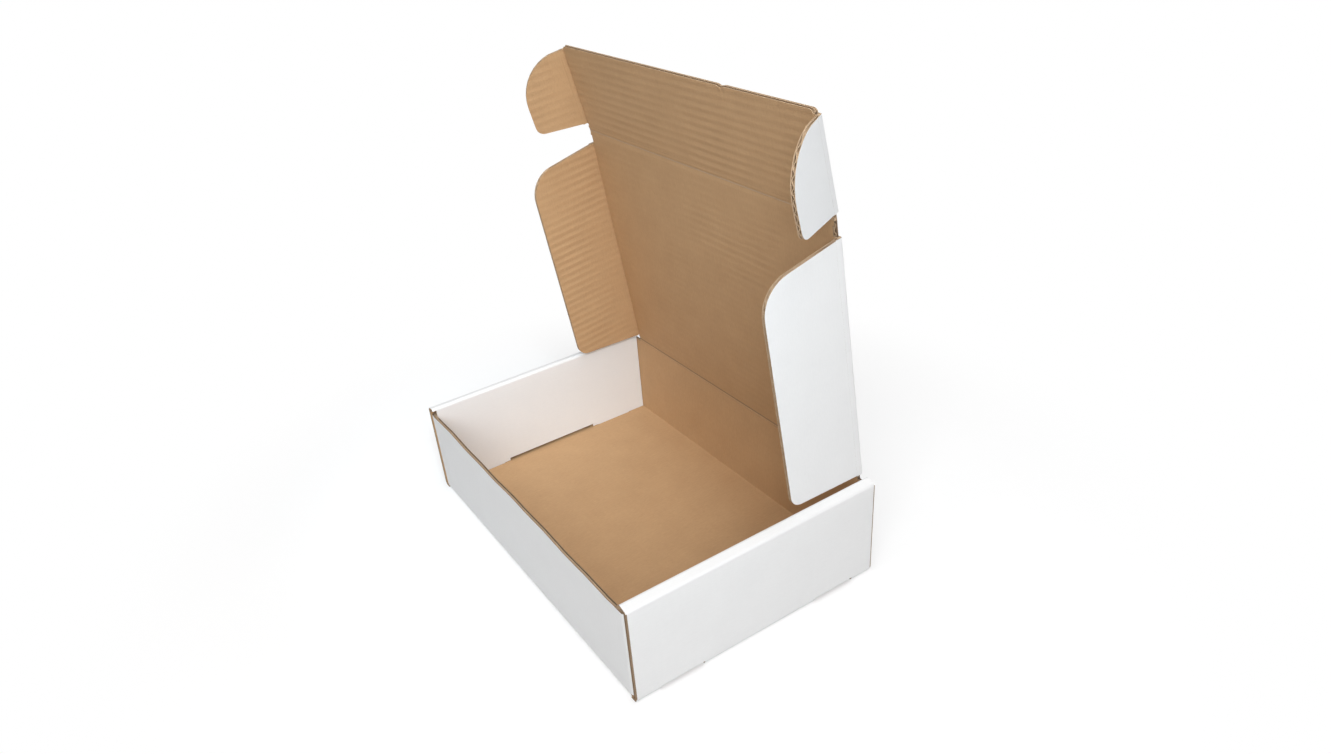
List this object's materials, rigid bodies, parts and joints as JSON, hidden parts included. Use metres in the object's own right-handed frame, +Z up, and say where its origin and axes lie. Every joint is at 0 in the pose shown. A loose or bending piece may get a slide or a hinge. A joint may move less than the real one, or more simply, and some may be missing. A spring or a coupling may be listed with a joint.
{
  "type": "corrugated mailer box",
  "caption": "Shallow roll-end mailer box folded from fluted board, white outside and brown inside, with a hinged lid, side wings and a tuck flap with ears.",
  "frame": {"origin": "centre of the base, on the surface the box stands on", "axes": "+X to the right along the front wall, +Y from the front wall to the hinged back wall, +Z up"},
  "size_m": [0.3352, 0.218, 0.3636],
  "materials": {
    "board": "single-wall fluted board, matte, white liner outside and brown kraft liner inside"
  },
  "bodies": {
    "tray": {"tray": "board"},
    "lid": {"lid_panel": "board"},
    "wing_left": {"wing_left": "board"},
    "wing_right": {"wing_right": "board"},
    "tuck": {"tuck_flap": "board"},
    "ear_left": {"ear_left": "board"},
    "ear_right": {"ear_right": "board"}
  },
  "joints": [
    {"name": "lid_hinge", "type": "hinge", "parent": "tray", "child": "lid", "pos_m": [0, 0.1075, 0.083], "axis": [1, 0, 0], "range_deg": [-98, 82]},
    {"name": "tuck_fold", "type": "hinge", "parent": "lid", "child": "tuck", "pos_m": [0, 0.07809, 0.29224], "axis": [-1, 0, 0], "range_deg": [-94.5, 5.5]},
    {"name": "wing_fold_left", "type": "hinge", "parent": "lid", "child": "wing_left", "pos_m": [-0.1515, 0.1075, 0.083], "axis": [0, -0.1392, 0.9903], "range_deg": [-90, 25]},
    {"name": "ear_fold_left", "type": "hinge", "parent": "tuck", "child": "ear_left", "pos_m": [-0.1515, 0.07809, 0.29224], "axis": [0, -0.2334, 0.9724], "range_deg": [-70, 45]},
    {"name": "wing_fold_right", "type": "hinge", "parent": "lid", "child": "wing_right", "pos_m": [0.1515, 0.1075, 0.083], "axis": [0, 0.1392, -0.9903], "range_deg": [-90, 25]},
    {"name": "ear_fold_right", "type": "hinge", "parent": "tuck", "child": "ear_right", "pos_m": [0.1515, 0.07809, 0.29224], "axis": [0, 0.2334, -0.9724], "range_deg": [-70, 45]}
  ]
}
